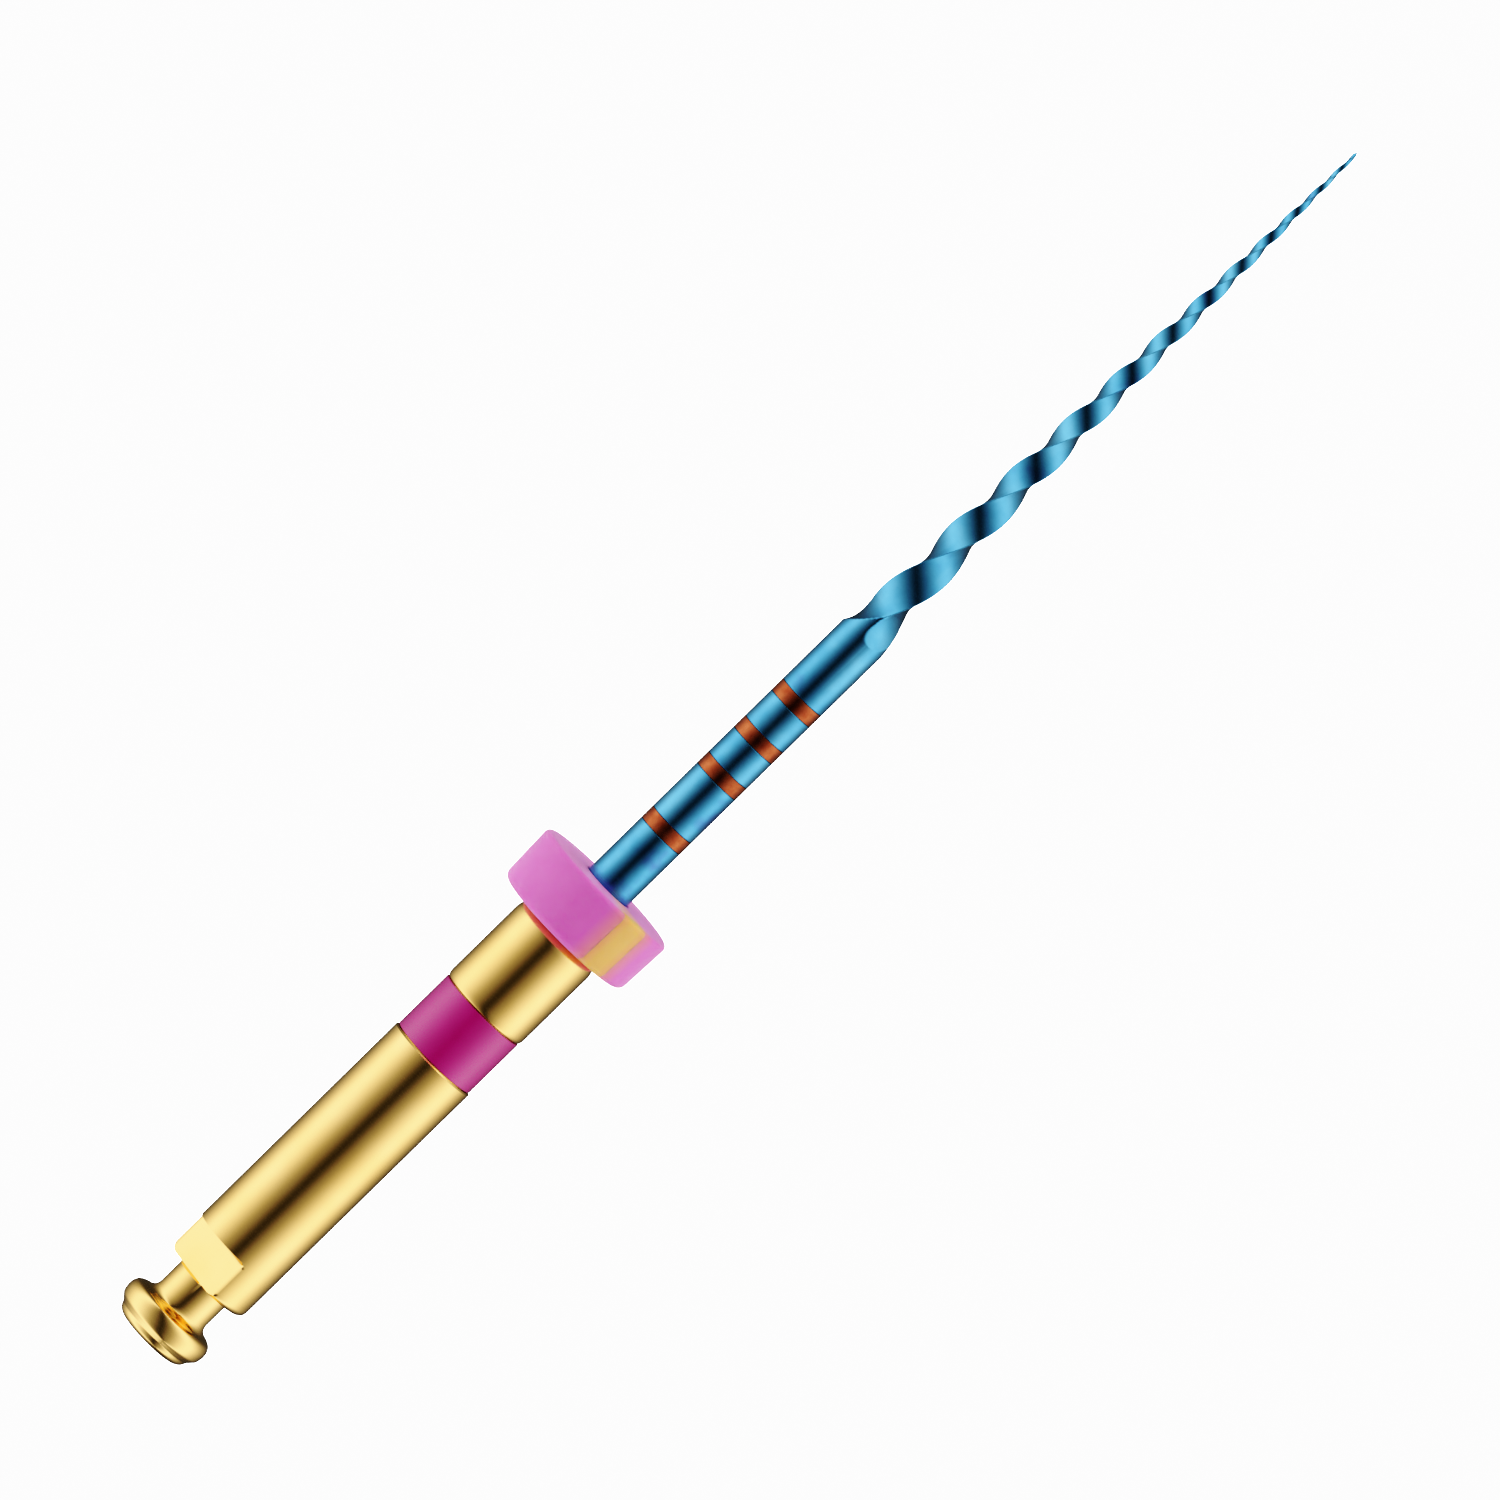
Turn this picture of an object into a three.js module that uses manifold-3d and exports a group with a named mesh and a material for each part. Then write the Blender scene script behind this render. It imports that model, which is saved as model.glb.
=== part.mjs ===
// Rotary endodontic file with a latch shank, as an assembly of separate pieces.
// Millimetres. +Z runs along the rotation axis from the latch end (z = 0) to the tip.
// The drive flat of the latch faces -Y.
import * as THREE from "three";
import { mergeVertices } from "three/addons/utils/BufferGeometryUtils.js";
import Module from "manifold-3d";

const wasm = await Module();
wasm.setup();

// Facets round a turned piece, and round a small ring.
const TURNED_SIDES = 48;
const RING_SIDES = 32;

// Lengths along the axis.
const TIP_Z = 38.95;
const SHOULDER_Z = 1.85;
const STEP_Z = 2.94;
const BAND_GROOVE_LOW_Z = 9.26;
const BAND_GROOVE_HIGH_Z = 10.88;
const HANDLE_FRONT_Z = 13.35;
const BORE_FLOOR_Z = 7.35;
const BORE_POINT_Z = 6.97;
const TANG_END_Z = 7.45;
const STOP_LOW_Z = 13.4;
const STOP_HEIGHT = 1.5;

// Latch shank. A fillet joins the drive flat to the step at its end.
const SHANK_R = 1.175;
const NECK_R = 0.735;
const DRIVE_FLAT_Y = -0.57;
const STEP_FILLET = 0.15;
const STEP_MARGIN = 0.06;
const BAND_GROOVE_R = 1.04;
const BORE_R = 0.69;
const EDGE_CHAMFER = 0.035;

// Size band and adhesive.
const BAND_OUTER_R = 1.14;
const BAND_INNER_R = 1.052;
const BAND_END_GAP = 0.015;
const ADHESIVE_INNER_R = 0.632;
const ADHESIVE_OUTER_R = 0.675;
const ADHESIVE_LOW_Z = 7.6;
const ADHESIVE_HIGH_Z = 13.25;

// Blade: a right-hand helix of convex triangular section that runs out into a round shaft.
// SIDE_RATIO is the distance of a side's middle from the axis, as a share of the corner radius.
const SHAFT_R = 0.62;
const TIP_R = 0.05;
const RADIUS_PER_MM = 0.0325;
const TIP_POINT_LENGTH = 0.09;
const SHOULDER_START = 15.42;
const FLUTE_LENGTH = 15.87;
const LIFT_START = 14.95;
const SIDES = 3;
const SIDE_ANGLE = (2 * Math.PI) / SIDES;
const SIDE_RATIO = 0.59;
const SIDE_CURVE_RATIO = 4.21;
const PITCH_AT_TIP = 0.58;
const PITCH_GROWTH = 0.11;
const SIDE_DIRECTION_AT_TIP = THREE.MathUtils.degToRad(51);
const POINTS_ON_SIDE_DEGREES = [-60, -49, -35, -18, 0, 18, 35, 49];
const STATIONS_PER_SIDE = 7;
const RUN_OUT_STATIONS = 10;
const TANG_CHAMFER = 0.1;

// Depth marks, by the distance of each ring's middle from the tip.
const DEPTH_MARKS = {
  depth_mark_18mm: 17.98,
  depth_mark_19mm: 19.19,
  depth_mark_20mm: 20.37,
  depth_mark_22mm: 22.16,
};
const MARK_WIDTH = 0.38;
const MARK_GROOVE_R = 0.598;
const MARK_INNER_R = 0.607;
const MARK_END_GAP = 0.01;

// Silicone stop.
const STOP_TOP_R = 1.93;
const STOP_FOOT_R = 1.885;
const STOP_BORE_R = 0.64;
const STOP_EDGE_R = 0.13;
const STOP_MARK_DIRECTION = THREE.MathUtils.degToRad(-12.9);
const STOP_MARK_WIDTH = 0.78;
const STOP_MARK_DEPTH = 0.36;
const STOP_MARK_GAP = 0.01;

// --- geometry helpers ---

/** A closed skin over rings of equal length; the rings run so that their outside is to the right. */
function loft(rings, closed) {
  const count = rings[0].length;
  const positions = rings.flat().flatMap((point) => point.toArray());
  const triangles = [];
  const bands = closed ? rings.length : rings.length - 1;
  for (let i = 0; i < bands; i += 1) {
    const low = i * count;
    const high = ((i + 1) % rings.length) * count;
    for (let j = 0; j < count; j += 1) {
      const k = (j + 1) % count;
      triangles.push(low + j, low + k, high + k);
      triangles.push(low + j, high + k, high + j);
    }
  }
  return { positions, triangles, count };
}

/** Closes one end of a lofted skin with a fan from a point on the axis. */
function closeEnd(skin, axisZ, firstIndex, facesDown) {
  const centre = skin.positions.length / 3;
  skin.positions.push(0, 0, axisZ);
  for (let j = 0; j < skin.count; j += 1) {
    const here = firstIndex + j;
    const next = firstIndex + ((j + 1) % skin.count);
    skin.triangles.push(centre, facesDown ? next : here, facesDown ? here : next);
  }
}

function toGeometry(skin) {
  const geometry = new THREE.BufferGeometry();
  geometry.setAttribute("position", new THREE.Float32BufferAttribute(skin.positions, 3));
  geometry.setIndex(skin.triangles);
  return geometry;
}

function circle(radius, z, sides) {
  const points = [];
  for (let j = 0; j < sides; j += 1) {
    const angle = (2 * Math.PI * j) / sides;
    points.push(new THREE.Vector3(radius * Math.cos(angle), radius * Math.sin(angle), z));
  }
  return points;
}

/** A turned solid whose profile of [radius, z] starts and ends on the axis. */
function turned(profile, sides) {
  const rings = profile.slice(1, -1).map(([radius, z]) => circle(radius, z, sides));
  const skin = loft(rings, false);
  closeEnd(skin, profile[0][1], 0, true);
  closeEnd(skin, profile[profile.length - 1][1], (rings.length - 1) * sides, false);
  return toGeometry(skin);
}

/** A ring whose profile of [radius, z] closes on itself, outer side first and rising. */
function turnedRing(profile, sides) {
  const rings = profile.map(([radius, z]) => circle(radius, z, sides));
  return toGeometry(loft(rings, true));
}

/** Points of a quarter-round corner from one angle to another about a centre [radius, z]. */
function corner(centreR, centreZ, radius, fromAngle, toAngle, steps) {
  const points = [];
  for (let i = 0; i <= steps; i += 1) {
    const angle = fromAngle + ((toAngle - fromAngle) * i) / steps;
    points.push([centreR + radius * Math.cos(angle), centreZ + radius * Math.sin(angle)]);
  }
  return points;
}

function toManifold(geometry) {
  const plain = geometry.clone();
  plain.deleteAttribute("normal");
  plain.deleteAttribute("uv");
  const merged = mergeVertices(plain, 1e-5);
  return new wasm.Manifold(
    new wasm.Mesh({
      numProp: 3,
      vertProperties: Float32Array.from(merged.attributes.position.array),
      triVerts: Uint32Array.from(merged.index.array),
    }),
  );
}

function fromManifold(solid) {
  const mesh = solid.getMesh();
  const geometry = new THREE.BufferGeometry();
  geometry.setAttribute("position", new THREE.Float32BufferAttribute(mesh.vertProperties, 3));
  geometry.setIndex(Array.from(mesh.triVerts));
  return geometry;
}

/** A box from its low corner to its high corner, turned about Z. */
function box(low, high, turn = 0) {
  const size = new THREE.Vector3().subVectors(high, low);
  const geometry = new THREE.BoxGeometry(size.x, size.y, size.z);
  const middle = new THREE.Vector3().addVectors(low, high).multiplyScalar(0.5);
  geometry.translate(middle.x, middle.y, middle.z);
  geometry.rotateZ(turn);
  return geometry;
}

// --- handle ---

/** Button with a domed nose and a rounded rim, flared into the latch neck. */
function buttonProfile() {
  return [
    [0, 0],
    [0.6, 0],
    [0.75, 0.012],
    [0.87, 0.045],
    [0.97, 0.12],
    [1.03, 0.24],
    [1.11, 0.33],
    [1.175, 0.41],
    [1.205, 0.52],
    [1.21, 0.63],
    [1.19, 0.74],
    [1.13, 0.84],
    [1.03, 0.9],
    [0.9, 0.94],
    [0.81, 1.0],
    [0.755, 1.08],
    [NECK_R, 1.18],
    [NECK_R, SHOULDER_Z],
  ];
}

/** Round body from the shoulder to the front collar, with the groove of the size band. */
function bodyProfile() {
  const rootR = SHANK_R - EDGE_CHAMFER;
  return [
    ...corner(SHANK_R - 0.13, SHOULDER_Z + 0.13, 0.13, -Math.PI / 2, 0, 3),
    [SHANK_R, STEP_Z + STEP_MARGIN],
    [SHANK_R, BAND_GROOVE_LOW_Z - EDGE_CHAMFER],
    [rootR, BAND_GROOVE_LOW_Z],
    [BAND_GROOVE_R, BAND_GROOVE_LOW_Z],
    [BAND_GROOVE_R, BAND_GROOVE_HIGH_Z],
    [rootR, BAND_GROOVE_HIGH_Z],
    [SHANK_R, BAND_GROOVE_HIGH_Z + EDGE_CHAMFER],
    ...corner(SHANK_R - 0.15, HANDLE_FRONT_Z - 0.15, 0.15, 0, Math.PI / 2, 4),
  ];
}

/** Blind drilled bore that takes the tang. */
function boreProfile() {
  return [
    [BORE_R + EDGE_CHAMFER, HANDLE_FRONT_Z],
    [BORE_R, HANDLE_FRONT_Z - EDGE_CHAMFER],
    [BORE_R, BORE_FLOOR_Z],
    [0, BORE_POINT_Z],
  ];
}

/** What is milled away below the step: everything beyond the flat and its fillet. */
function driveFlatCutter() {
  const reach = 2 * SHANK_R;
  const low = SHOULDER_Z - 0.05;
  const filletY = DRIVE_FLAT_Y - STEP_FILLET;
  const filletZ = STEP_Z - STEP_FILLET;
  const points = [
    [-reach, low],
    [DRIVE_FLAT_Y, low],
    ...corner(filletY, filletZ, STEP_FILLET, 0, Math.PI / 2, 4),
    [-reach, STEP_Z],
  ];
  const outline = new THREE.Shape(points.map(([y, z]) => new THREE.Vector2(y, z)));
  const prism = new THREE.ExtrudeGeometry(outline, { depth: 2 * reach, bevelEnabled: false });
  const alongX = new THREE.Vector3(1, 0, 0);
  const alongY = new THREE.Vector3(0, 1, 0);
  const alongZ = new THREE.Vector3(0, 0, 1);
  prism.applyMatrix4(new THREE.Matrix4().makeBasis(alongY, alongZ, alongX));
  prism.translate(-reach, 0, 0);
  return prism;
}

function handleGeometry() {
  const blank = turned([...buttonProfile(), ...bodyProfile(), ...boreProfile()], TURNED_SIDES);
  return fromManifold(toManifold(blank).subtract(toManifold(driveFlatCutter())));
}

// --- size band and adhesive ---

function bandGeometry() {
  const low = BAND_GROOVE_LOW_Z + BAND_END_GAP;
  const high = BAND_GROOVE_HIGH_Z - BAND_END_GAP;
  const profile = [
    [BAND_INNER_R, low],
    [BAND_OUTER_R - EDGE_CHAMFER, low],
    [BAND_OUTER_R, low + EDGE_CHAMFER],
    [BAND_OUTER_R, high - EDGE_CHAMFER],
    [BAND_OUTER_R - EDGE_CHAMFER, high],
    [BAND_INNER_R, high],
  ];
  return turnedRing(profile, TURNED_SIDES);
}

function adhesiveGeometry() {
  const profile = [
    [ADHESIVE_INNER_R, ADHESIVE_LOW_Z],
    [ADHESIVE_OUTER_R, ADHESIVE_LOW_Z],
    [ADHESIVE_OUTER_R, ADHESIVE_HIGH_Z],
    [ADHESIVE_INNER_R, ADHESIVE_HIGH_Z],
  ];
  return turnedRing(profile, RING_SIDES);
}

// --- blade ---

/** Sides turned through between the tip and a distance from it; the pitch grows with the distance. */
function sidesTurned(fromTip) {
  return Math.log(1 + (PITCH_GROWTH * fromTip) / PITCH_AT_TIP) / PITCH_GROWTH;
}

/** The distance from the tip at which a number of sides has been turned through. */
function distanceOfSides(sides) {
  return ((Math.exp(PITCH_GROWTH * sides) - 1) * PITCH_AT_TIP) / PITCH_GROWTH;
}

/** Direction of the middle of one side of the section; it turns clockwise away from the tip. */
function sideDirection(fromTip) {
  return SIDE_DIRECTION_AT_TIP - SIDE_ANGLE * sidesTurned(Math.min(fromTip, FLUTE_LENGTH));
}

/** Radius of the section's corners: tapered, and pointed over the last bit of the tip. */
function cornerRadius(fromTip) {
  const tapered = TIP_R + RADIUS_PER_MM * fromTip;
  if (fromTip < TIP_POINT_LENGTH) {
    return Math.max(0.25 * TIP_R, (tapered * fromTip) / TIP_POINT_LENGTH);
  }
  return tapered;
}

/** Radius of the round blank that the sides are ground into: a short shoulder joins it to the shaft. */
function blankRadius(fromTip) {
  const share = (fromTip - SHOULDER_START) / (FLUTE_LENGTH - SHOULDER_START);
  const clamped = Math.min(1, Math.max(0, share));
  return cornerRadius(fromTip) * (1 - clamped) + SHAFT_R * clamped;
}

/** How far the grinding wheel has lifted out of the blank. */
function wheelLift(fromTip) {
  const share = Math.max(0, (fromTip - LIFT_START) / (FLUTE_LENGTH - LIFT_START));
  const full = SHAFT_R - SIDE_RATIO * cornerRadius(FLUTE_LENGTH);
  return full * share * share;
}

/** Distance from the axis to a convex side, in a direction measured from the side's middle. */
function sideRadius(fromTip, offset) {
  const edge = cornerRadius(fromTip);
  const curve = SIDE_CURVE_RATIO * edge;
  const centre = curve - SIDE_RATIO * edge - wheelLift(fromTip);
  const across = centre * Math.sin(offset);
  return Math.sqrt(curve * curve - across * across) - centre * Math.cos(offset);
}

function bladeSection(fromTip, roundRadius) {
  const direction = sideDirection(fromTip);
  const points = [];
  for (let side = 0; side < SIDES; side += 1) {
    for (const degrees of POINTS_ON_SIDE_DEGREES) {
      const offset = THREE.MathUtils.degToRad(degrees);
      const ground = Math.min(blankRadius(fromTip), sideRadius(fromTip, offset));
      const radius = roundRadius ?? ground;
      const angle = direction + side * SIDE_ANGLE + offset;
      const x = radius * Math.cos(angle);
      const y = radius * Math.sin(angle);
      points.push(new THREE.Vector3(x, y, TIP_Z - fromTip));
    }
  }
  return points;
}

/** Distances from the tip at which the fluted part is drawn. */
function fluteStations() {
  const stations = [0, 0.5 * TIP_POINT_LENGTH, TIP_POINT_LENGTH];
  const steps = Math.floor(sidesTurned(LIFT_START) * STATIONS_PER_SIDE);
  for (let i = 2; i <= steps; i += 1) {
    stations.push(distanceOfSides(i / STATIONS_PER_SIDE));
  }
  for (let i = 1; i <= RUN_OUT_STATIONS; i += 1) {
    stations.push(LIFT_START + ((FLUTE_LENGTH - LIFT_START) * i) / RUN_OUT_STATIONS);
  }
  return stations;
}

/** Round shaft and tang, from the flutes to the tang end, with a shallow groove for each depth mark. */
function shaftRings() {
  const rings = [];
  for (const middle of Object.values(DEPTH_MARKS)) {
    const near = middle - MARK_WIDTH / 2;
    const far = middle + MARK_WIDTH / 2;
    rings.push(bladeSection(near, SHAFT_R), bladeSection(near, MARK_GROOVE_R));
    rings.push(bladeSection(far, MARK_GROOVE_R), bladeSection(far, SHAFT_R));
  }
  const tangLength = TIP_Z - TANG_END_Z;
  rings.push(bladeSection(tangLength - TANG_CHAMFER, SHAFT_R));
  rings.push(bladeSection(tangLength, SHAFT_R - TANG_CHAMFER));
  return rings;
}

function bladeGeometry() {
  const fluted = fluteStations().map((fromTip) => bladeSection(fromTip));
  const rings = [...fluted, ...shaftRings()].reverse();
  const skin = loft(rings, false);
  closeEnd(skin, TANG_END_Z, 0, true);
  closeEnd(skin, TIP_Z, (rings.length - 1) * skin.count, false);
  return toGeometry(skin);
}

function depthMarkGeometry(fromTip) {
  const low = TIP_Z - fromTip - MARK_WIDTH / 2 + MARK_END_GAP;
  const high = TIP_Z - fromTip + MARK_WIDTH / 2 - MARK_END_GAP;
  const profile = [
    [MARK_INNER_R, low],
    [SHAFT_R, low],
    [SHAFT_R, high],
    [MARK_INNER_R, high],
  ];
  return turnedRing(profile, RING_SIDES);
}

// --- silicone stop and its direction mark ---

function stopBlank() {
  const high = STOP_LOW_Z + STOP_HEIGHT;
  const low = STOP_LOW_Z;
  const profile = [
    [STOP_BORE_R, low],
    ...corner(STOP_FOOT_R - STOP_EDGE_R, low + STOP_EDGE_R, STOP_EDGE_R, -Math.PI / 2, 0, 4),
    ...corner(STOP_TOP_R - STOP_EDGE_R, high - STOP_EDGE_R, STOP_EDGE_R, 0, Math.PI / 2, 4),
    [STOP_BORE_R, high],
  ];
  return toManifold(turnedRing(profile, TURNED_SIDES));
}

/** The slot down the side of the stop, or the insert in it when the gap is taken off. */
function markBlock(gap) {
  const halfWidth = STOP_MARK_WIDTH / 2 - gap;
  const inner = STOP_FOOT_R - STOP_MARK_DEPTH + gap;
  const low = new THREE.Vector3(inner, -halfWidth, STOP_LOW_Z - 1);
  const high = new THREE.Vector3(STOP_TOP_R + 1, halfWidth, STOP_LOW_Z + STOP_HEIGHT + 1);
  return toManifold(box(low, high, STOP_MARK_DIRECTION));
}

function stopGeometry() {
  return fromManifold(stopBlank().subtract(markBlock(0)));
}

function stopMarkGeometry() {
  return fromManifold(stopBlank().intersect(markBlock(STOP_MARK_GAP)));
}

// --- assembly ---

const FINISHES = {
  goldPlate: { color: 0xd9b45a, roughness: 0.22, metalness: 1 },
  blueNickelTitanium: { color: 0x2f7fa8, roughness: 0.28, metalness: 1 },
  magentaPlastic: { color: 0xb01873, roughness: 0.3, metalness: 0 },
  pinkSilicone: { color: 0xd678c4, roughness: 0.55, metalness: 0 },
  yellowSilicone: { color: 0xdcb95e, roughness: 0.55, metalness: 0 },
  copperCoating: { color: 0xb5683c, roughness: 0.4, metalness: 1 },
  clearAdhesive: { color: 0xe6dcc0, roughness: 0.5, metalness: 0 },
};

const group = new THREE.Group();
group.name = "endodontic_file";

function addPiece(name, geometry, finish) {
  const indexed = geometry.index ? geometry : mergeVertices(geometry);
  indexed.computeVertexNormals();
  const mesh = new THREE.Mesh(indexed, new THREE.MeshStandardMaterial(FINISHES[finish]));
  mesh.name = name;
  group.add(mesh);
}

addPiece("handle", handleGeometry(), "goldPlate");
addPiece("size_band", bandGeometry(), "magentaPlastic");
addPiece("tang_adhesive", adhesiveGeometry(), "clearAdhesive");
addPiece("blade", bladeGeometry(), "blueNickelTitanium");
addPiece("stop", stopGeometry(), "pinkSilicone");
addPiece("stop_direction_mark", stopMarkGeometry(), "yellowSilicone");
for (const [name, fromTip] of Object.entries(DEPTH_MARKS)) {
  addPiece(name, depthMarkGeometry(fromTip), "copperCoating");
}

export default group;
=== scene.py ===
"""Looks of a rotary endodontic file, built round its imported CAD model.

Blender works in metres; sizes here are in millimetres until MM is applied. +Z runs from the latch end
to the tip, and the drive flat faces -Y.
"""

import math

import bmesh
import bpy
from mathutils import Matrix, Vector

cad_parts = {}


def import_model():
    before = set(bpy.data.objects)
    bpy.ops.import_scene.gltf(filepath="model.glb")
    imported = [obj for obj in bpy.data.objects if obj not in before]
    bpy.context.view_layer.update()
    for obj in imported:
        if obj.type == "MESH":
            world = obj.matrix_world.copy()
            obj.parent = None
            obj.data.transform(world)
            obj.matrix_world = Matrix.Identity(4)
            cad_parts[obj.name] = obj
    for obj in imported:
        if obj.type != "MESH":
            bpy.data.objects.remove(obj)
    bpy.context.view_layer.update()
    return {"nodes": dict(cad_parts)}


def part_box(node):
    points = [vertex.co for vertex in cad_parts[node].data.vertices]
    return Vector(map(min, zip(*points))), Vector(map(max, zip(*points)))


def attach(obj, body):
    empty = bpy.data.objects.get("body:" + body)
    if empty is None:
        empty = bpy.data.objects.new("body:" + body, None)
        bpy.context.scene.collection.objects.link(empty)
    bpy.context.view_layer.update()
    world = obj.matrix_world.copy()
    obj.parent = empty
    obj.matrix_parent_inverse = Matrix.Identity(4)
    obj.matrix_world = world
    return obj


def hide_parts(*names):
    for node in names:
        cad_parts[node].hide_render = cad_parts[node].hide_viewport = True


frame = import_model()

MM = 0.001

# ---------------------------------------------------------------- sizes from the frame, in mm


def low_mm(node):
    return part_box(node)[0] / MM


def high_mm(node):
    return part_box(node)[1] / MM


TIP_Z = high_mm("blade").z
TANG_END_Z = low_mm("blade").z
SHAFT_R = high_mm("depth_mark_18mm").x
BUTTON_R = high_mm("handle").x
HANDLE_FRONT_Z = high_mm("handle").z
BAND_LOW_Z = low_mm("size_band").z
BAND_HIGH_Z = high_mm("size_band").z
BAND_R = high_mm("size_band").x
STOP_LOW_Z = low_mm("stop").z
STOP_HIGH_Z = high_mm("stop").z
STOP_R = high_mm("stop").y

# Shank.
SHANK_R = 0.971 * BUTTON_R
COLLAR_R = 0.99 * SHANK_R
NECK_R = 0.6074 * BUTTON_R
SHOULDER_Z = 1.85
FLAT_END_Z = 2.79
FLAT_DISTANCE = 0.57
STEP_FILLET = 0.15
STEP_Z = FLAT_END_Z + STEP_FILLET
HANDLE_EDGE = 0.035
GROOVE_LOW_Z = BAND_LOW_Z - 0.015
GROOVE_HIGH_Z = BAND_HIGH_Z + 0.015
GROOVE_R = BAND_R - 0.1
BORE_R = SHAFT_R + 0.07
BORE_FLOOR_Z = TANG_END_Z - 0.1
BORE_POINT_Z = BORE_FLOOR_Z - 0.38

# Helix of the blade; distances run from the tip.
SIDES = 3
SIDE_ANGLE = 2 * math.pi / SIDES
TIP_R = 0.05
POINT_R = 0.0125
RADIUS_PER_MM = 0.0325
TIP_POINT = 0.09
SHOULDER_START = 15.42
FLUTE_LENGTH = 15.87
LIFT_START = 14.95
SIDE_RATIO = 0.59
SIDE_CURVE_RATIO = 4.21
PITCH_AT_TIP = 0.58
PITCH_GROWTH = 0.11
SIDE_DIRECTION_AT_TIP = math.radians(51)
CUTTING_EDGE_R = 0.035
TANG_CHAMFER = 0.1
STEPS_ON_SIDE = 36
RINGS_PER_SIDE = 30
RUN_OUT_RINGS = 60

# Depth marks.
MARK_NODES = ("depth_mark_18mm", "depth_mark_19mm", "depth_mark_20mm", "depth_mark_22mm")
MARK_GROOVE_DEPTH = 0.022
MARK_GROOVE_GAP = 0.01
MARK_THICKNESS = 0.013
MARK_SEAM = 0.006

# Silicone stop.
STOP_FOOT_R = 0.9767 * STOP_R
STOP_BORE_R = SHAFT_R + 0.02
STOP_TOP_EDGE = 0.13
STOP_FOOT_EDGE = 0.2
STOP_LIP = 0.03
MARK_DIRECTION = math.radians(-12.9)
MARK_HALF_WIDTH = 0.38
MARK_DEPTH = 0.36

# Meshes: points round a turned piece, the distance in metres at which points are joined, and the
# angles in degrees above which an edge stays sharp.
TURNED_SIDES = 192
WELD_DISTANCE = 1e-8
SHARP_DEGREES = 32
BLADE_SHARP_DEGREES = 24

# ---------------------------------------------------------------- mesh helpers


def grid_faces(rings, count, closed):
    """Quads between neighbouring rings of count vertices; closed joins the last ring to the first."""
    faces = []
    bands = rings if closed else rings - 1
    for i in range(bands):
        low = i * count
        high = ((i + 1) % rings) * count
        for j in range(count):
            k = (j + 1) % count
            faces.append((low + j, low + k, high + k, high + j))
    return faces


def capped(rings, low_z, high_z):
    """Points and faces of a closed skin over rising rings, with a point on the axis at either end."""
    count = len(rings[0])
    points = [point for ring in rings for point in ring]
    faces = grid_faces(len(rings), count, closed=False)
    for z, base, down in ((low_z, 0, True), (high_z, (len(rings) - 1) * count, False)):
        centre = len(points)
        points.append((0.0, 0.0, z))
        for j in range(count):
            here, following = base + j, base + (j + 1) % count
            faces.append((centre, following, here) if down else (centre, here, following))
    return points, faces


def weld(mesh):
    """Joins points that lie on one another, and drops the faces that this leaves empty."""
    joined = bmesh.new()
    joined.from_mesh(mesh)
    bmesh.ops.remove_doubles(joined, verts=joined.verts, dist=WELD_DISTANCE)
    joined.to_mesh(mesh)
    joined.free()


def shade(mesh, sharp_degrees=SHARP_DEGREES):
    """Smooth shading, broken at sharp edges."""
    mesh.polygons.foreach_set("use_smooth", [True] * len(mesh.polygons))
    mesh.set_sharp_from_angle(angle=math.radians(sharp_degrees))


def make_object(name, points_mm, faces, sharp_degrees=SHARP_DEGREES):
    mesh = bpy.data.meshes.new(name)
    mesh.from_pydata([(x * MM, y * MM, z * MM) for x, y, z in points_mm], [], faces)
    weld(mesh)
    mesh.validate()
    shade(mesh, sharp_degrees)
    mesh.update()
    obj = bpy.data.objects.new(name, mesh)
    bpy.context.scene.collection.objects.link(obj)
    return obj


def ring_points(radius, z):
    """Points (x, y, z) round the axis."""
    angles = [2 * math.pi * j / TURNED_SIDES for j in range(TURNED_SIDES)]
    return [(radius * math.cos(angle), radius * math.sin(angle), z) for angle in angles]


def quarter(centre_r, centre_z, radius, height, start, end, steps):
    """Points [r, z] of a corner, round or elliptical, between two angles in degrees."""
    points = []
    for i in range(steps + 1):
        angle = math.radians(start + (end - start) * i / steps)
        points.append((centre_r + radius * math.cos(angle), centre_z + height * math.sin(angle)))
    return points


def spline(p0, p1, p2, p3, t):
    """Catmull-Rom value between p1 (t = 0) and p2 (t = 1)."""
    linear = p2 - p0
    square = 2 * p0 - 5 * p1 + 4 * p2 - p3
    cube = 3 * p1 - p0 - 3 * p2 + p3
    return 0.5 * (2 * p1 + linear * t + square * t * t + cube * t**3)


def smooth_curve(points, steps):
    """A smooth curve through the given [r, z] points, ends kept."""
    padded = [points[0], *points, points[-1]]
    curve = []
    for i in range(len(points) - 1):
        radii, heights = zip(*padded[i : i + 4])
        for step in range(steps):
            t = step / steps
            curve.append((spline(*radii, t), spline(*heights, t)))
    curve.append(points[-1])
    return curve


# ---------------------------------------------------------------- material helpers


NOISE_ROUGHNESS = 0.55
# A Mix node's sockets for colours: factor, A, B and result.
MIX_INPUTS = (0, 6, 7)
MIX_OUTPUT = 2


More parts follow.
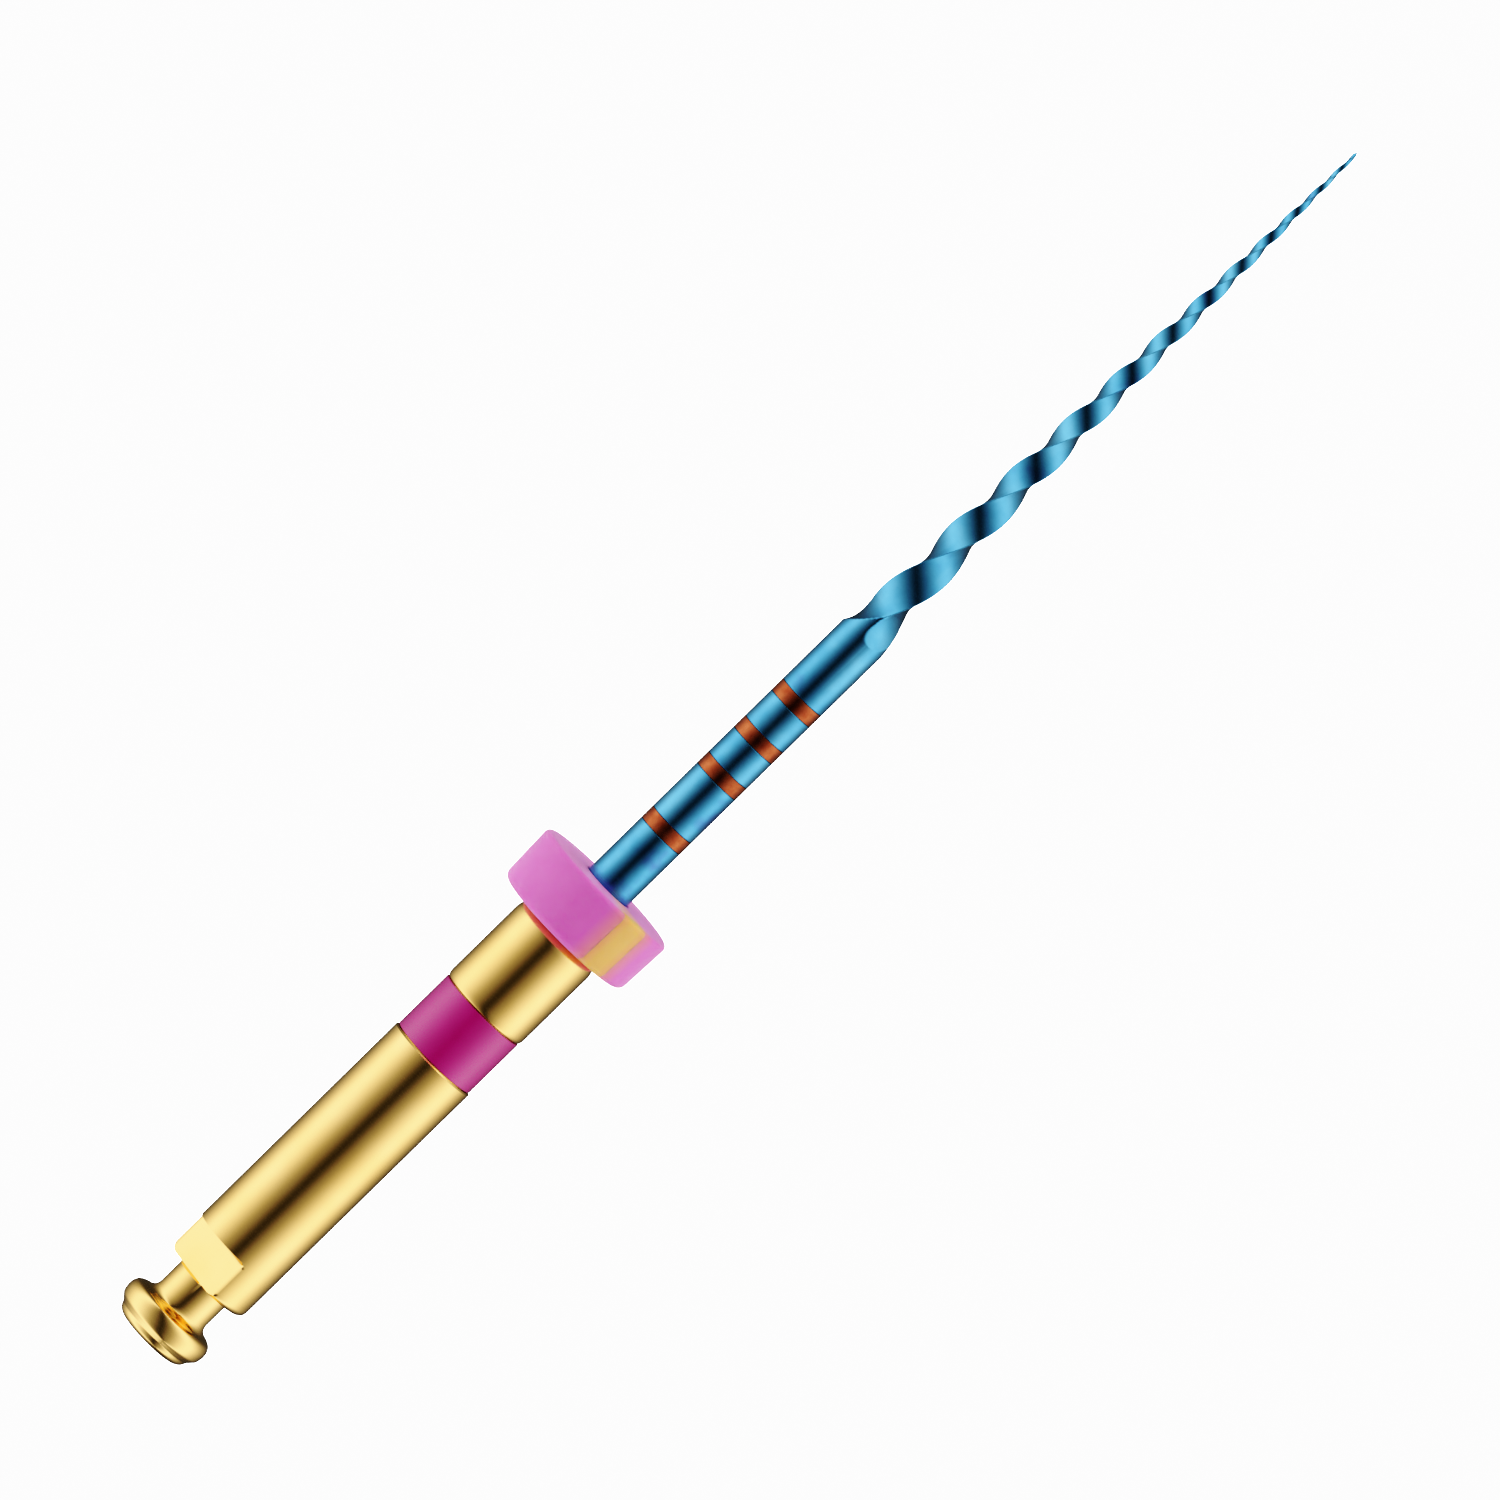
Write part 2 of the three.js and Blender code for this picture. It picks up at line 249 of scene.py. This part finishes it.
class Nodes:
    """A small wrapper that adds and links nodes of one node tree."""

    def __init__(self, tree, coords):
        self.tree = tree
        self.coords = tree.nodes.new("ShaderNodeTexCoord").outputs[coords]

    def add(self, kind, values=None, links=None):
        node = self.tree.nodes.new(kind)
        for key, value in (values or {}).items():
            if hasattr(node, key):
                setattr(node, key, value)
            else:
                node.inputs[key].default_value = value
        for key, output in (links or {}).items():
            self.tree.links.new(output, node.inputs[key])
        return node

    def scaled(self, sx, sy, sz):
        """The coordinates, stretched along each axis."""
        node = self.add("ShaderNodeMapping", links={"Vector": self.coords})
        node.inputs["Scale"].default_value = (sx, sy, sz)
        return node.outputs["Vector"]

    def noise(self, scale, detail, vector=None):
        node = self.add(
            "ShaderNodeTexNoise",
            {"Scale": scale, "Detail": detail, "Roughness": NOISE_ROUGHNESS},
            {"Vector": vector or self.coords},
        )
        return node.outputs["Fac"]

    def ramp(self, factor, stops):
        """A colour for a factor, from stops of (position, colour)."""
        node = self.add("ShaderNodeValToRGB", links={"Fac": factor})
        elements = node.color_ramp.elements
        while len(elements) < len(stops):
            elements.new(0.5)
        for element, (position, colour) in zip(elements, stops):
            element.position = position
            element.color = (*colour, 1)
        return node.outputs["Color"]

    def math(self, operation, *values):
        """The result of one operation on outputs or plain numbers."""
        node = self.add("ShaderNodeMath", {"operation": operation})
        for i, value in enumerate(values):
            if isinstance(value, (int, float)):
                node.inputs[i].default_value = value
            else:
                self.tree.links.new(value, node.inputs[i])
        return node.outputs[0]

    def span(self, value, a, b, to_a, to_b):
        """Maps a value from the range a to b onto the range to_a to to_b."""
        node = self.add(
            "ShaderNodeMapRange",
            {"From Min": a, "From Max": b, "To Min": to_a, "To Max": to_b},
            {"Value": value},
        )
        return node.outputs["Result"]

    def mix(self, factor, a, b):
        """Colour a where the factor is 0 and b where it is 1; b may be a plain colour."""
        node = self.add("ShaderNodeMix", {"data_type": "RGBA"})
        fac, first, second = (node.inputs[i] for i in MIX_INPUTS)
        self.tree.links.new(factor, fac)
        self.tree.links.new(a, first)
        if isinstance(b, tuple):
            second.default_value = (*b, 1)
        else:
            self.tree.links.new(b, second)
        return node.outputs[MIX_OUTPUT]


class Finish(Nodes):
    """The nodes of one material of the object, in the object's own coordinates."""

    def __init__(self, name):
        self.material = bpy.data.materials.new(name)
        self.material.use_nodes = True
        super().__init__(self.material.node_tree, "Object")
        self.shader = self.tree.nodes["Principled BSDF"]

    def bump(self, height, distance, rounding=0.0):
        """Relief from a height; the light sees sharp edges rounded by a radius, if one is given."""
        node = self.add("ShaderNodeBump", {"Distance": distance}, {"Height": height})
        if rounding:
            edge = self.add("ShaderNodeBevel", {"Radius": rounding})
            self.tree.links.new(edge.outputs["Normal"], node.inputs["Normal"])
        self.tree.links.new(node.outputs["Normal"], self.shader.inputs["Normal"])

    def set(self, **sockets):
        """Sets sockets of the shader by name, with _ for a space: a number, a colour or an output."""
        for key, value in sockets.items():
            socket = self.shader.inputs[key.replace("_", " ")]
            if isinstance(value, (int, float, tuple)):
                socket.default_value = value
            else:
                self.tree.links.new(value, socket)


# ---------------------------------------------------------------- materials


def gold_plate():
    """Polished gold plating over a turned shank: fine turning lines round it, and soft wear."""
    n = Finish("gold_plate")
    cloud = n.noise(700.0, 2.0)
    colour = n.ramp(cloud, [(0.3, (0.97, 0.67, 0.28)), (0.7, (1.0, 0.71, 0.32))])
    turning = n.noise(60.0, 2.0, n.scaled(1.0, 1.0, 400.0))
    roughness = n.span(turning, 0.3, 0.7, 0.14, 0.19)
    n.set(Base_Color=colour, Metallic=1.0, Roughness=roughness)
    n.bump(turning, 0.0000008)
    return n.material


def blue_metal():
    """Heat-treated nickel-titanium: blue oxide with darker violet patches and fine grinding lines."""
    n = Finish("blue_nickel_titanium")
    patches = n.noise(900.0, 3.0)
    colour = n.ramp(
        patches,
        [(0.28, (0.14, 0.28, 0.52)), (0.42, (0.15, 0.41, 0.62)), (0.7, (0.21, 0.5, 0.71))],
    )
    grinding = n.noise(90.0, 2.0, n.scaled(1.0, 1.0, 300.0))
    roughness = n.span(grinding, 0.3, 0.7, 0.17, 0.24)
    n.set(Base_Color=colour, Metallic=1.0, Roughness=roughness)
    n.bump(grinding, 0.0000007, rounding=CUTTING_EDGE_R * MM)
    return n.material


def copper_coating():
    """Baked copper-coloured coating of the depth marks, slightly mottled."""
    n = Finish("copper_coating")
    mottle = n.noise(4000.0, 3.0)
    colour = n.ramp(mottle, [(0.3, (0.4, 0.13, 0.07)), (0.7, (0.53, 0.21, 0.12))])
    roughness = n.span(mottle, 0.3, 0.7, 0.2, 0.28)
    n.set(Base_Color=colour, Metallic=1.0, Roughness=roughness)
    n.bump(mottle, 0.000002)
    return n.material


def magenta_plastic():
    """Glossy moulded ring."""
    n = Finish("magenta_plastic")
    cloud = n.noise(900.0, 2.0)
    colour = n.ramp(cloud, [(0.3, (0.41, 0.001, 0.18)), (0.7, (0.47, 0.002, 0.21))])
    roughness = n.span(cloud, 0.3, 0.7, 0.2, 0.26)
    n.set(Base_Color=colour, Roughness=roughness, IOR=1.75)
    n.set(Coat_Weight=1.0, Coat_Roughness=0.14, Coat_IOR=1.6)
    n.bump(n.noise(3000.0, 2.0), 0.0000015)
    return n.material


def angle_from_mark(n):
    """Angle in radians round the stop from the middle of its direction mark."""
    turned = n.add("ShaderNodeVectorRotate", {"rotation_type": "Z_AXIS", "Angle": -MARK_DIRECTION})
    n.tree.links.new(n.coords, turned.inputs["Vector"])
    parts = n.add("ShaderNodeSeparateXYZ", links={"Vector": turned.outputs["Vector"]})
    angle = n.math("ARCTAN2", parts.outputs["Y"], parts.outputs["X"])
    return n.math("ABSOLUTE", angle)


def pink_silicone():
    """Translucent silicone with a faintly uneven moulded skin; towards the mark its pink is painted
    orange, a painted glow standing in for light scattered from the yellow mark.
    """
    n = Finish("pink_silicone")
    cloud = n.noise(500.0, 3.0)
    pink = n.ramp(cloud, [(0.3, (0.65, 0.21, 0.51)), (0.7, (0.7, 0.25, 0.57))])
    # Painted glow: the pink turns orange towards the mark, in place of light scattered out of the
    # yellow mark into the stop.
    painted_mark_glow = n.span(angle_from_mark(n), 0.2, 0.42, 0.75, 0.0)
    colour = n.mix(painted_mark_glow, pink, (0.74, 0.33, 0.26))
    n.set(Base_Color=colour, Roughness=n.span(cloud, 0.3, 0.7, 0.42, 0.52), IOR=1.41)
    n.set(Subsurface_Weight=1.0, Subsurface_Radius=(1.0, 0.45, 0.85), Subsurface_Scale=0.00006)
    n.set(Specular_IOR_Level=0.5, Sheen_Weight=0.25, Sheen_Roughness=0.35)
    n.bump(n.noise(2500.0, 3.0), 0.000004)
    return n.material


def yellow_silicone():
    """Translucent silicone of the mark; at its borders a painted pink-orange glow stands in for light
    scattered in from the pink stop.
    """
    n = Finish("yellow_silicone")
    # Painted glow: the yellow turns pink-orange at the mark's borders, in place of light scattered in
    # from the pink stop.
    edge = n.span(angle_from_mark(n), 0.08, 0.2, 0.0, 0.75)
    cloud = n.noise(700.0, 3.0)
    yellow = n.ramp(cloud, [(0.3, (0.72, 0.47, 0.19)), (0.7, (0.78, 0.53, 0.23))])
    colour = n.mix(edge, yellow, (0.76, 0.38, 0.24))
    n.set(Base_Color=colour, Roughness=n.span(cloud, 0.3, 0.7, 0.42, 0.52), IOR=1.41)
    n.set(Subsurface_Weight=1.0, Subsurface_Radius=(1.0, 0.7, 0.3), Subsurface_Scale=0.00005)
    n.set(Specular_IOR_Level=0.4)
    n.bump(n.noise(2500.0, 3.0), 0.000004)
    return n.material


def clear_adhesive():
    """Cured resin round the tang."""
    n = Finish("clear_adhesive")
    cloud = n.noise(900.0, 2.0)
    colour = n.ramp(cloud, [(0.3, (0.78, 0.7, 0.52)), (0.7, (0.86, 0.8, 0.66))])
    n.set(Base_Color=colour, Roughness=n.span(cloud, 0.3, 0.7, 0.3, 0.45))
    return n.material


# ---------------------------------------------------------------- handle


def latch_profile():
    """[r, z] of the button, the neck and the shank up to the step, from the rim of the end face."""
    nose = [(0.6, 0.0), (0.75, 0.012), (0.87, 0.045), (0.97, 0.12), (1.03, 0.24)]
    rim = [
        (1.03, 0.24),
        (1.11, 0.33),
        (1.175, 0.41),
        (1.203, 0.52),
        (BUTTON_R, 0.63),
        (1.19, 0.74),
        (1.13, 0.84),
        (1.03, 0.9),
        (0.9, 0.94),
        (0.81, 1.0),
        (0.755, 1.08),
        (NECK_R, 1.18),
    ]
    fillet = 0.03
    corner = 0.2
    return [
        *smooth_curve(nose, 4),
        *smooth_curve(rim, 5)[1:],
        (NECK_R, 1.5),
        (NECK_R, SHOULDER_Z - fillet),
        (NECK_R + fillet, SHOULDER_Z),
        (0.9, SHOULDER_Z),
        *quarter(SHANK_R - corner, SHOULDER_Z + corner, corner, corner, -90, 0, 10),
        (SHANK_R, 2.3),
        *quarter(SHANK_R, FLAT_END_Z, 0.0, STEP_FILLET, 0, 90, 9),
    ]


def body_profile():
    """[r, z] from the step, past the band's groove and the collar, to the end of the bore's wall."""
    return [
        (SHANK_R, STEP_Z),
        (SHANK_R, 3.4),
        (SHANK_R, 6.0),
        (SHANK_R, GROOVE_LOW_Z - HANDLE_EDGE),
        (SHANK_R - HANDLE_EDGE, GROOVE_LOW_Z),
        (GROOVE_R, GROOVE_LOW_Z),
        (GROOVE_R, GROOVE_HIGH_Z),
        *quarter(COLLAR_R - 0.06, GROOVE_HIGH_Z + 0.18, 0.06, 0.18, -90, 0, 8),
        (COLLAR_R, 12.0),
        *quarter(COLLAR_R - 0.13, HANDLE_FRONT_Z - 0.28, 0.13, 0.28, 0, 90, 10),
        (BORE_R + HANDLE_EDGE, HANDLE_FRONT_Z),
        (BORE_R, HANDLE_FRONT_Z - HANDLE_EDGE),
        (BORE_R, BORE_FLOOR_Z),
    ]


def milled(ring):
    """The ring of a turned piece, drawn in to the drive flat or to the fillet at its end."""
    z = ring[0][2]
    if z < SHOULDER_Z:
        return ring
    rise = min(STEP_FILLET, max(0.0, z - FLAT_END_Z))
    distance = FLAT_DISTANCE + STEP_FILLET - math.sqrt(STEP_FILLET**2 - rise**2)
    shares = [distance / max(distance, -y) for x, y, z in ring]
    return [(x * share, y * share, z) for (x, y, z), share in zip(ring, shares)]


def handle():
    """Turned shank whose lower end is milled to a D, up to a step."""
    rings = [milled(ring_points(radius, z)) for radius, z in latch_profile()]
    rings += [ring_points(radius, z) for radius, z in body_profile()]
    return make_object("handle_shank", *capped(rings, 0.0, BORE_POINT_Z))


# ---------------------------------------------------------------- rings on the handle and shaft


def turned_ring(name, profile):
    """A ring whose [r, z] profile closes on itself."""
    points = [p for radius, z in profile for p in ring_points(radius, z)]
    return make_object(name, points, grid_faces(len(profile), TURNED_SIDES, closed=True))


def size_band():
    edge = 0.03
    inner = GROOVE_R + 0.012
    outer = BAND_R
    profile = [
        (inner, BAND_LOW_Z),
        *quarter(outer - edge, BAND_LOW_Z + edge, edge, edge, -90, 0, 5),
        *quarter(outer - edge, BAND_HIGH_Z - edge, edge, edge, 0, 90, 5),
        (inner, BAND_HIGH_Z),
    ]
    return turned_ring("size_band_ring", profile)


def depth_mark(node):
    low, high = low_mm(node).z, high_mm(node).z
    inner = SHAFT_R - MARK_THICKNESS
    profile = [
        (inner, low),
        (SHAFT_R - MARK_SEAM, low),
        (SHAFT_R, low + MARK_SEAM),
        (SHAFT_R, high - MARK_SEAM),
        (SHAFT_R - MARK_SEAM, high),
        (inner, high),
    ]
    return turned_ring(node + "_coating", profile)


# ---------------------------------------------------------------- blade


def sides_turned(from_tip):
    """Sides turned through between the tip and a distance from it."""
    return math.log(1 + PITCH_GROWTH * from_tip / PITCH_AT_TIP) / PITCH_GROWTH


def distance_of_sides(sides):
    """The distance from the tip at which a number of sides has been turned through."""
    return (math.exp(PITCH_GROWTH * sides) - 1) * PITCH_AT_TIP / PITCH_GROWTH


def side_direction(from_tip):
    """Direction of the middle of one side; it turns clockwise away from the tip."""
    return SIDE_DIRECTION_AT_TIP - SIDE_ANGLE * sides_turned(min(from_tip, FLUTE_LENGTH))


def corner_radius(from_tip):
    """Radius of the cutting edges: tapered, and pointed over the last bit of the tip."""
    tapered = TIP_R + RADIUS_PER_MM * from_tip
    if from_tip < TIP_POINT:
        return max(POINT_R, tapered * from_tip / TIP_POINT)
    return tapered


def blank_radius(from_tip):
    """Radius of the round blank: a short shoulder joins the cutting edges to the shaft."""
    share = min(1.0, max(0.0, (from_tip - SHOULDER_START) / (FLUTE_LENGTH - SHOULDER_START)))
    return corner_radius(from_tip) * (1 - share) + SHAFT_R * share


def wheel_lift(from_tip):
    """How far the grinding wheel has lifted out of the blank."""
    share = max(0.0, (from_tip - LIFT_START) / (FLUTE_LENGTH - LIFT_START))
    return (SHAFT_R - SIDE_RATIO * corner_radius(FLUTE_LENGTH)) * share * share


def side_radius(from_tip, offset):
    """Distance from the axis to a convex side, in a direction measured from the side's middle."""
    corner = corner_radius(from_tip)
    curve = SIDE_CURVE_RATIO * corner
    centre = curve - SIDE_RATIO * corner - wheel_lift(from_tip)
    return math.sqrt(curve**2 - (centre * math.sin(offset)) ** 2) - centre * math.cos(offset)


def blade_ring(from_tip, round_radius=None):
    """One section: convex sides that meet at the cutting edges, inside the round blank."""
    ring = []
    for side in range(SIDES):
        middle = side_direction(from_tip) + side * SIDE_ANGLE
        for i in range(STEPS_ON_SIDE):
            offset = SIDE_ANGLE * (i / STEPS_ON_SIDE - 0.5)
            radius = round_radius or min(blank_radius(from_tip), side_radius(from_tip, offset))
            angle = middle + offset
            ring.append((radius * math.cos(angle), radius * math.sin(angle), TIP_Z - from_tip))
    return ring


def blade_rings():
    """Sections from the tang end to the tip, with a shallow groove for each depth mark."""
    rings = [blade_ring(TIP_POINT * i / 4) for i in range(5)]
    first = math.ceil(sides_turned(TIP_POINT) * RINGS_PER_SIDE) + 1
    for i in range(first, int(sides_turned(LIFT_START) * RINGS_PER_SIDE)):
        rings.append(blade_ring(distance_of_sides(i / RINGS_PER_SIDE)))
    for i in range(RUN_OUT_RINGS + 1):
        rings.append(blade_ring(LIFT_START + (FLUTE_LENGTH - LIFT_START) * i / RUN_OUT_RINGS))
    groove = SHAFT_R - MARK_GROOVE_DEPTH
    for node in MARK_NODES:
        near = TIP_Z - high_mm(node).z - MARK_GROOVE_GAP
        far = TIP_Z - low_mm(node).z + MARK_GROOVE_GAP
        for from_tip, radius in ((near, SHAFT_R), (near, groove), (far, groove), (far, SHAFT_R)):
            rings.append(blade_ring(from_tip, radius))
    tang = TIP_Z - TANG_END_Z
    rings.append(blade_ring(tang - TANG_CHAMFER, SHAFT_R))
    rings.append(blade_ring(tang, SHAFT_R - TANG_CHAMFER))
    return rings[::-1]


def blade():
    skin = capped(blade_rings(), TANG_END_Z, TIP_Z)
    return make_object("blade_wire", *skin, BLADE_SHARP_DEGREES)


# ---------------------------------------------------------------- silicone stop


def stop_profile():
    """[r, z] of the disc: bore, foot, side with a slight draft, and top, with rounded rims."""
    lip, top, foot = STOP_LIP, STOP_TOP_EDGE, STOP_FOOT_EDGE
    return [
        (STOP_BORE_R, STOP_LOW_Z + lip),
        (STOP_BORE_R + lip, STOP_LOW_Z),
        (1.2, STOP_LOW_Z),
        *quarter(STOP_FOOT_R - foot, STOP_LOW_Z + foot, foot, foot, -90, 0, 10),
        (0.5 * (STOP_FOOT_R + STOP_R), 0.5 * (STOP_LOW_Z + STOP_HIGH_Z)),
        *quarter(STOP_R - top, STOP_HIGH_Z - top, top, top, 0, 90, 8),
        (1.2, STOP_HIGH_Z),
        (STOP_BORE_R + lip, STOP_HIGH_Z),
        (STOP_BORE_R, STOP_HIGH_Z - lip),
    ]


def stop_blank(name):
    return turned_ring(name, stop_profile())


def mark_block():
    """A block that fills the slot of the direction mark and sticks out of the stop."""
    margin = 0.5
    inner, outer = STOP_FOOT_R - MARK_DEPTH, STOP_R + margin
    low, high = STOP_LOW_Z - margin, STOP_HIGH_Z + margin
    half = MARK_HALF_WIDTH
    turn = Matrix.Rotation(MARK_DIRECTION, 3, "Z")
    corners = [
        turn @ Vector((x, y, z)) for z in (low, high) for x in (inner, outer) for y in (-half, half)
    ]
    faces = [(0, 1, 3, 2), (4, 6, 7, 5), (0, 4, 5, 1), (2, 3, 7, 6), (0, 2, 6, 4), (1, 5, 7, 3)]
    return make_object("mark_block", [tuple(corner) for corner in corners], faces)


def cut(obj, operation):
    """Applies a boolean with the mark's block and returns obj with plain mesh data."""
    cutter = mark_block()
    modifier = obj.modifiers.new("slot", "BOOLEAN")
    modifier.operation = operation
    modifier.solver = "EXACT"
    modifier.object = cutter
    graph = bpy.context.evaluated_depsgraph_get()
    mesh = bpy.data.meshes.new_from_object(obj.evaluated_get(graph))
    obj.modifiers.clear()
    obj.data = mesh
    bpy.data.objects.remove(cutter)
    shade(mesh)
    return obj


# ---------------------------------------------------------------- stage, light and camera

CAMERA_AZIMUTH = math.radians(42)
CAMERA_ELEVATION = math.radians(5)
AXIS_TILT = math.radians(44.42)
LENS = 400.0
SENSOR = 36.0
FRAME_WIDTH = 34.35 * MM
AIM_Z = 19.44 * MM
AIM_RIGHT = 0.023 * MM
AIM_UP = -0.023 * MM
CLIP_NEAR, CLIP_FAR = 0.01, 10.0


def looking_axes(elevation):
    """Backward, level and upright directions of a view of the object from the camera's side."""
    a, e = CAMERA_AZIMUTH, elevation
    back = Vector((math.sin(a) * math.cos(e), -math.cos(a) * math.cos(e), math.sin(e)))
    level = Vector((0, 0, 1)).cross(back).normalized()
    return back, level, back.cross(level)


def camera():
    """A far, long lens; the axis of the file climbs to the right at AXIS_TILT in the picture."""
    back, level, upright = looking_axes(CAMERA_ELEVATION)
    right = math.sin(AXIS_TILT) * level + math.cos(AXIS_TILT) * upright
    up = back.cross(right)
    data = bpy.data.cameras.new("camera")
    data.lens = LENS
    data.sensor_width = SENSOR
    data.clip_start, data.clip_end = CLIP_NEAR, CLIP_FAR
    obj = bpy.data.objects.new("camera", data)
    bpy.context.scene.collection.objects.link(obj)
    aim = Vector((0, 0, AIM_Z)) + AIM_RIGHT * right + AIM_UP * up
    place = aim + back * (FRAME_WIDTH * LENS / SENSOR)
    rotation = Matrix((right, up, back)).transposed().to_4x4()
    obj.matrix_world = Matrix.Translation(place) @ rotation
    bpy.context.scene.camera = obj


# Pale floor, in metres, and its even glow; what the camera sees beyond it.
FLOOR_HALF_WIDTH = 1.5
FLOOR_Z = -0.02
FLOOR_GLOW = 3.0
BACKDROP = 4.0


def floor():
    """A pale floor that takes no shadow and casts no light on the object."""
    size, z = FLOOR_HALF_WIDTH, FLOOR_Z
    mesh = bpy.data.meshes.new("floor")
    corners = [(-size, -size, z), (size, -size, z), (size, size, z), (-size, size, z)]
    mesh.from_pydata(corners, [], [(0, 1, 2, 3)])
    obj = bpy.data.objects.new("floor", mesh)
    bpy.context.scene.collection.objects.link(obj)
    n = Finish("pale_floor")
    n.set(Base_Color=(0.9, 0.9, 0.9, 1.0), Roughness=0.9)
    n.set(Emission_Color=(1.0, 1.0, 1.0, 1.0), Emission_Strength=FLOOR_GLOW)
    mesh.materials.append(n.material)
    obj.visible_glossy = False
    obj.visible_diffuse = False
    obj.visible_shadow = False


# Brightness on either side of a dark strip behind the camera: (angle from the strip in degrees,
# radiance), as the metal mirrors it and as it falls on dull surfaces.
MIRRORED = [
    (0, 0.075),
    (8, 0.13),
    (16, 0.24),
    (29, 0.41),
    (41, 0.65),
    (54, 0.98),
    (67, 1.27),
    (80, 1.4),
    (92, 1.35),
    (103, 1.1),
    (116, 0.76),
    (130, 0.48),
    (145, 0.27),
    (160, 0.14),
    (180, 0.1),
]
FALLING = [(0, 0.8), (50, 1.05), (90, 1.55), (180, 0.9)]
# The strip leans to the left; angles are stretched so that the shaft still mirrors the whole list.
STRIP_LEAN = math.radians(14)
STRETCH = 1 / math.cos(STRIP_LEAN)


def along(n, axis):
    """How far a direction points along an axis."""
    node = n.add("ShaderNodeVectorMath", {"operation": "DOT_PRODUCT"})
    n.tree.links.new(n.coords, node.inputs[0])
    node.inputs[1].default_value = axis
    return node.outputs["Value"]


def brightness(n, angle, stops):
    scaled = [(degrees / 180, (radiance,) * 3) for degrees, radiance in stops]
    return n.ramp(n.math("DIVIDE", angle, math.pi), scaled)


def world():
    """White to the camera; to the object, a studio with a soft wall of light on either side."""
    scene_world = bpy.data.worlds.new("studio")
    bpy.context.scene.world = scene_world
    scene_world.use_nodes = True
    scene_world.cycles.sampling_method = "NONE"
    n = Nodes(scene_world.node_tree, "Generated")
    back, level, upright = looking_axes(-CAMERA_ELEVATION)
    sideways = math.cos(STRIP_LEAN) * level + math.sin(STRIP_LEAN) * upright
    side = n.math("MULTIPLY", n.math("ABSOLUTE", along(n, sideways)), STRETCH)
    angle = n.math("ARCTAN2", side, along(n, back))
    path = n.add("ShaderNodeLightPath")
    mirrored, falling = brightness(n, angle, MIRRORED), brightness(n, angle, FALLING)
    seen = n.mix(path.outputs["Is Glossy Ray"], falling, mirrored)
    seen = n.mix(path.outputs["Is Camera Ray"], seen, (BACKDROP,) * 3)
    n.tree.links.new(seen, n.tree.nodes["Background"].inputs["Color"])


# Film curve: (scene brightness, picture brightness), both linear.
FILM_WHITE = 3.0
FILM = [
    (0.0, 0.0),
    (0.03, 0.0025),
    (0.06, 0.009),
    (0.1, 0.028),
    (0.15, 0.067),
    (0.2, 0.13),
    (0.25, 0.19),
    (0.35, 0.31),
    (0.5, 0.475),
    (0.75, 0.7),
    (1.0, 0.865),
    (1.25, 0.955),
    (1.5, 0.985),
    (3.0, 1.0),
]


def film():
    settings = bpy.context.scene.view_settings
    settings.view_transform = "Standard"
    settings.look = "None"
    settings.use_curve_mapping = True
    mapping = settings.curve_mapping
    mapping.white_level = (FILM_WHITE,) * 3
    curve = mapping.curves[3]
    curve.points[0].location = (0, 0)
    curve.points[-1].location = (1, 1)
    for x, y in FILM[1:-1]:
        curve.points.new(x / FILM_WHITE, y)
    mapping.update()


# ---------------------------------------------------------------- assembly


def place(obj, material, body, slot, *nodes):
    obj.data.materials.clear()
    obj.data.materials.append(material)
    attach(obj, body)
    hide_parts(*nodes)


place(handle(), gold_plate(), "file", "gold_plate", "handle")
place(size_band(), magenta_plastic(), "file", "magenta_plastic", "size_band")
place(blade(), blue_metal(), "file", "blue_nickel_titanium", "blade")
copper = copper_coating()
for mark in MARK_NODES:
    place(depth_mark(mark), copper, "file", "copper_coating", mark)
stop = cut(stop_blank("stop_disc"), "DIFFERENCE")
place(stop, pink_silicone(), "length_stop", "pink_silicone", "stop")
insert = cut(stop_blank("stop_insert"), "INTERSECT")
place(insert, yellow_silicone(), "length_stop", "yellow_silicone", "stop_direction_mark")

adhesive = frame["nodes"]["tang_adhesive"]
adhesive.data.materials.clear()
adhesive.data.materials.append(clear_adhesive())

floor()
world()
film()
camera()
